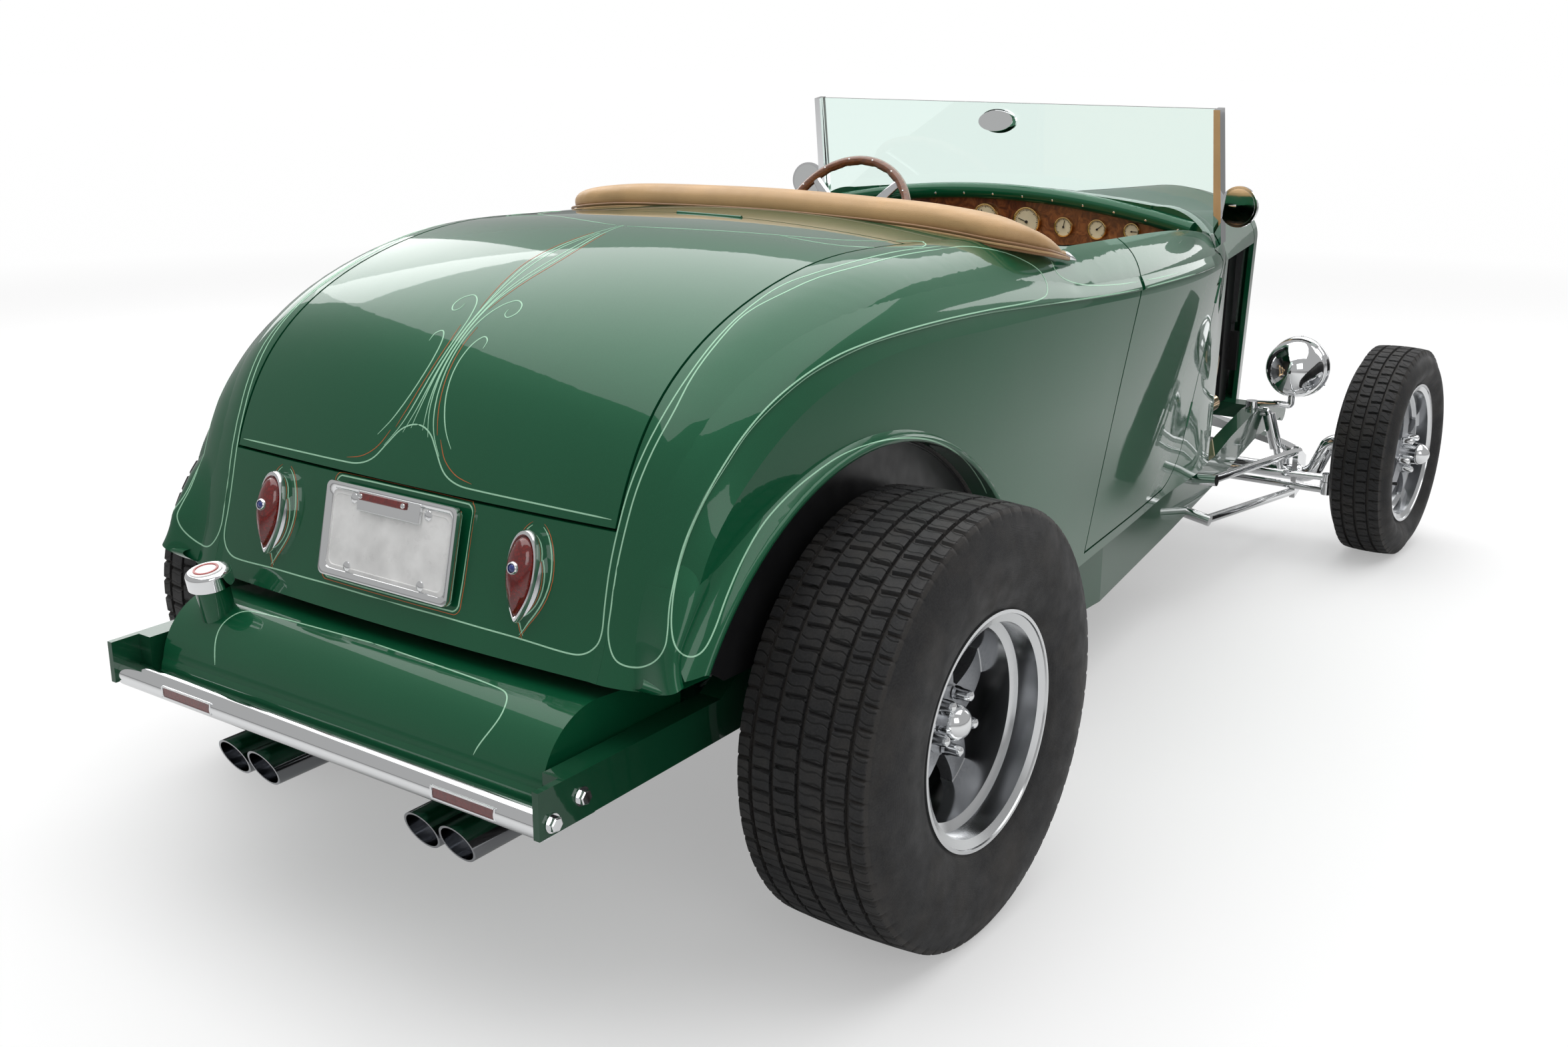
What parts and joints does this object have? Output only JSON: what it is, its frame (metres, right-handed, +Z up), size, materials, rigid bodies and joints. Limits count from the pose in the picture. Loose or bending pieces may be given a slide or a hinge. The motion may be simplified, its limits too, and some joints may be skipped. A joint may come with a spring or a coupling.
{
  "type": "highboy street rod roadster",
  "caption": "Open highboy street rod roadster in the style of the 1930s, with steered front wheels, opening doors and deck lid, and a bare frame below the body.",
  "frame": {"origin": "on the ground, under the middle of the car's overall box", "axes": "+Y forwards along the car, +X to the car's right-hand side, +Z up"},
  "size_m": [1.745, 3.711, 1.3243],
  "materials": {
    "body_paint": "gloss metallic",
    "frame_paint": "gloss",
    "liner": "carpet and felt",
    "seat_leather": "grained",
    "burl": "lacquered",
    "dials": "polished",
    "bright": "polished",
    "screen": "clear, faintly green",
    "looking_glass": "silvered",
    "lens": "clear red",
    "plate": "blank",
    "alloy": "polished rim, grey spokes",
    "tread": "black",
    "black_paint": "satin"
  },
  "bodies": {
    "chassis": {"body_quarters": "body_paint", "cowl": "body_paint", "tail_panel": "body_paint", "hood_top": "body_paint", "radiator_shell": "body_paint", "frame_rails": "frame_paint", "crossmembers": "frame_paint", "fuel_tank": "frame_paint", "steering_box": "frame_paint", "engine_block": "frame_paint", "floor_pan": "liner", "trunk_floor": "liner", "seat_cushion": "seat_leather", "seat_back": "seat_leather", "cockpit_pad": "seat_leather", "dash_panel": "burl", "gauges": "dials", "windshield_posts": "bright", "side_mirror_left": "bright", "side_mirror_right": "bright", "steering_column": "bright", "rear_bumper": "bright", "fuel_cap": "bright", "tail_lamps": "bright", "headlamp_left": "bright", "headlamp_right": "bright", "front_axle": "bright", "front_spring": "bright", "four_bars": "bright", "front_shocks": "bright", "rear_dampers": "bright", "headers": "bright", "windshield_glass": "screen", "inner_mirror": "looking_glass", "bumper_lenses": "lens", "number_plate": "plate", "radiator": "black_paint", "grille": "black_paint", "rear_axle": "black_paint", "driveline": "black_paint", "exhaust": "black_paint"},
    "door_left": {"door_left": "body_paint"},
    "door_right": {"door_right": "body_paint"},
    "deck": {"deck_lid": "body_paint"},
    "steering_wheel": {"steering_wheel": "burl"},
    "knuckle_left": {"knuckle_left": "bright"},
    "knuckle_right": {"knuckle_right": "bright"},
    "tie_rod": {"tie_rod": "bright"},
    "drag_link": {"drag_link": "bright"},
    "pitman": {"pitman_arm": "bright"},
    "wheel_front_left": {"wheel_front_left": "alloy", "tyre_front_left": "tread"},
    "wheel_front_right": {"wheel_front_right": "alloy", "tyre_front_right": "tread"},
    "wheel_rear_left": {"wheel_rear_left": "alloy", "tyre_rear_left": "tread"},
    "wheel_rear_right": {"wheel_rear_right": "alloy", "tyre_rear_right": "tread"}
  },
  "joints": [
    {"name": "wheel_rear_left_spin", "type": "hinge", "parent": "chassis", "child": "wheel_rear_left", "pos_m": [-0.735, -1.151, 0.38], "axis": [1, 0, 0], "continuous": true},
    {"name": "steer_left", "type": "hinge", "parent": "chassis", "child": "knuckle_left", "pos_m": [-0.592, 1.541, 0.308], "axis": [0, 0, 1], "range_deg": [-24, 24]},
    {"name": "wheel_front_left_spin", "type": "hinge", "parent": "knuckle_left", "child": "wheel_front_left", "pos_m": [-0.722, 1.541, 0.308], "axis": [1, 0, 0], "continuous": true},
    {"name": "wheel_rear_right_spin", "type": "hinge", "parent": "chassis", "child": "wheel_rear_right", "pos_m": [0.735, -1.151, 0.38], "axis": [1, 0, 0], "continuous": true},
    {"name": "steer_right", "type": "hinge", "parent": "chassis", "child": "knuckle_right", "pos_m": [0.592, 1.541, 0.308], "axis": [0, 0, 1], "range_deg": [-24, 24]},
    {"name": "wheel_front_right_spin", "type": "hinge", "parent": "knuckle_right", "child": "wheel_front_right", "pos_m": [0.722, 1.541, 0.308], "axis": [1, 0, 0], "continuous": true},
    {"name": "tie_rod_pivot", "type": "hinge", "parent": "knuckle_left", "child": "tie_rod", "pos_m": [-0.592, 1.411, 0.19], "axis": [0, 0, 1], "range_deg": [-24, 24]},
    {"name": "drag_link_pivot", "type": "hinge", "parent": "knuckle_right", "child": "drag_link", "pos_m": [0.592, 1.411, 0.229], "axis": [0, 0, 1], "range_deg": [-24, 24]},
    {"name": "pitman_turn", "type": "hinge", "parent": "chassis", "child": "pitman", "pos_m": [-0.285, 1.4, 0.2483], "axis": [0, 0, 1], "range_deg": [-24, 24]},
    {"name": "steering_wheel_turn", "type": "hinge", "parent": "chassis", "child": "steering_wheel", "pos_m": [-0.35, 0.205, 1.01], "axis": [0, -0.866, 0.5], "range_deg": [-360, 360]},
    {"name": "door_left_hinge", "type": "hinge", "parent": "chassis", "child": "door_left", "pos_m": [-0.4855, 0.5245, 0.5], "axis": [0.1417, -0.044, -0.9889], "range_deg": [0, 65]},
    {"name": "door_right_hinge", "type": "hinge", "parent": "chassis", "child": "door_right", "pos_m": [0.4855, 0.5245, 0.5], "axis": [0.1417, 0.044, 0.9889], "range_deg": [0, 65]},
    {"name": "deck_lid_hinge", "type": "hinge", "parent": "chassis", "child": "deck", "pos_m": [0, -0.7975, 1.1385], "axis": [-1, 0, 0], "range_deg": [0, 50]}
  ],
  "couplings": [
    {"joint": "steer_right", "follows": "steer_left", "ratio": 1},
    {"joint": "tie_rod_pivot", "follows": "steer_left", "ratio": -1},
    {"joint": "drag_link_pivot", "follows": "steer_left", "ratio": -1},
    {"joint": "pitman_turn", "follows": "steer_left", "ratio": 1},
    {"joint": "steering_wheel_turn", "follows": "steer_left", "ratio": 15}
  ]
}
